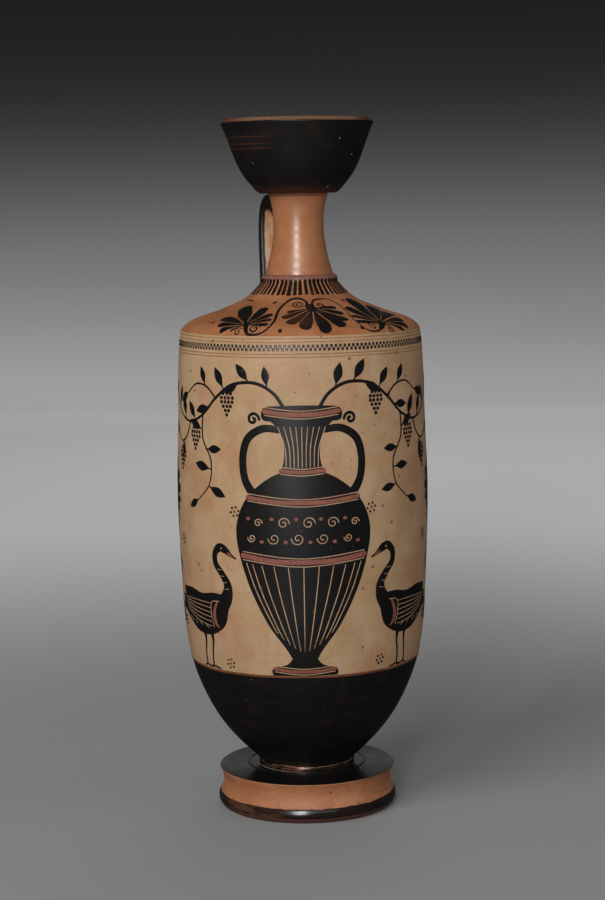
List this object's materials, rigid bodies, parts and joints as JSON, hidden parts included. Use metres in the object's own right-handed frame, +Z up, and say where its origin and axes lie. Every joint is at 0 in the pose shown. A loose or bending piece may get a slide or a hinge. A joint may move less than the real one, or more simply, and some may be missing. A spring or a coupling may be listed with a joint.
{
  "type": "lekythos",
  "caption": "Tall cylindrical ceramic oil flask with stepped disc foot, shallow conical shoulder, narrow neck, deep cup mouth and one strap handle.",
  "frame": {"origin": "middle of the ring that the foot rests on, at the level of the ground", "axes": "+Z up along the flask's axis, +Y towards the handle"},
  "size_m": [0.12, 0.12, 0.33],
  "materials": {
    "orange_clay": "satin burnished fired clay",
    "white_ground": "matt cream slip",
    "black_gloss": "lustrous black slip"
  },
  "bodies": {
    "root": {"foot": "black_gloss", "foot_fillet": "black_gloss", "body": "white_ground", "shoulder": "orange_clay", "neck_ring": "orange_clay", "neck": "orange_clay", "mouth": "black_gloss", "handle": "black_gloss"}
  },
  "joints": []
}
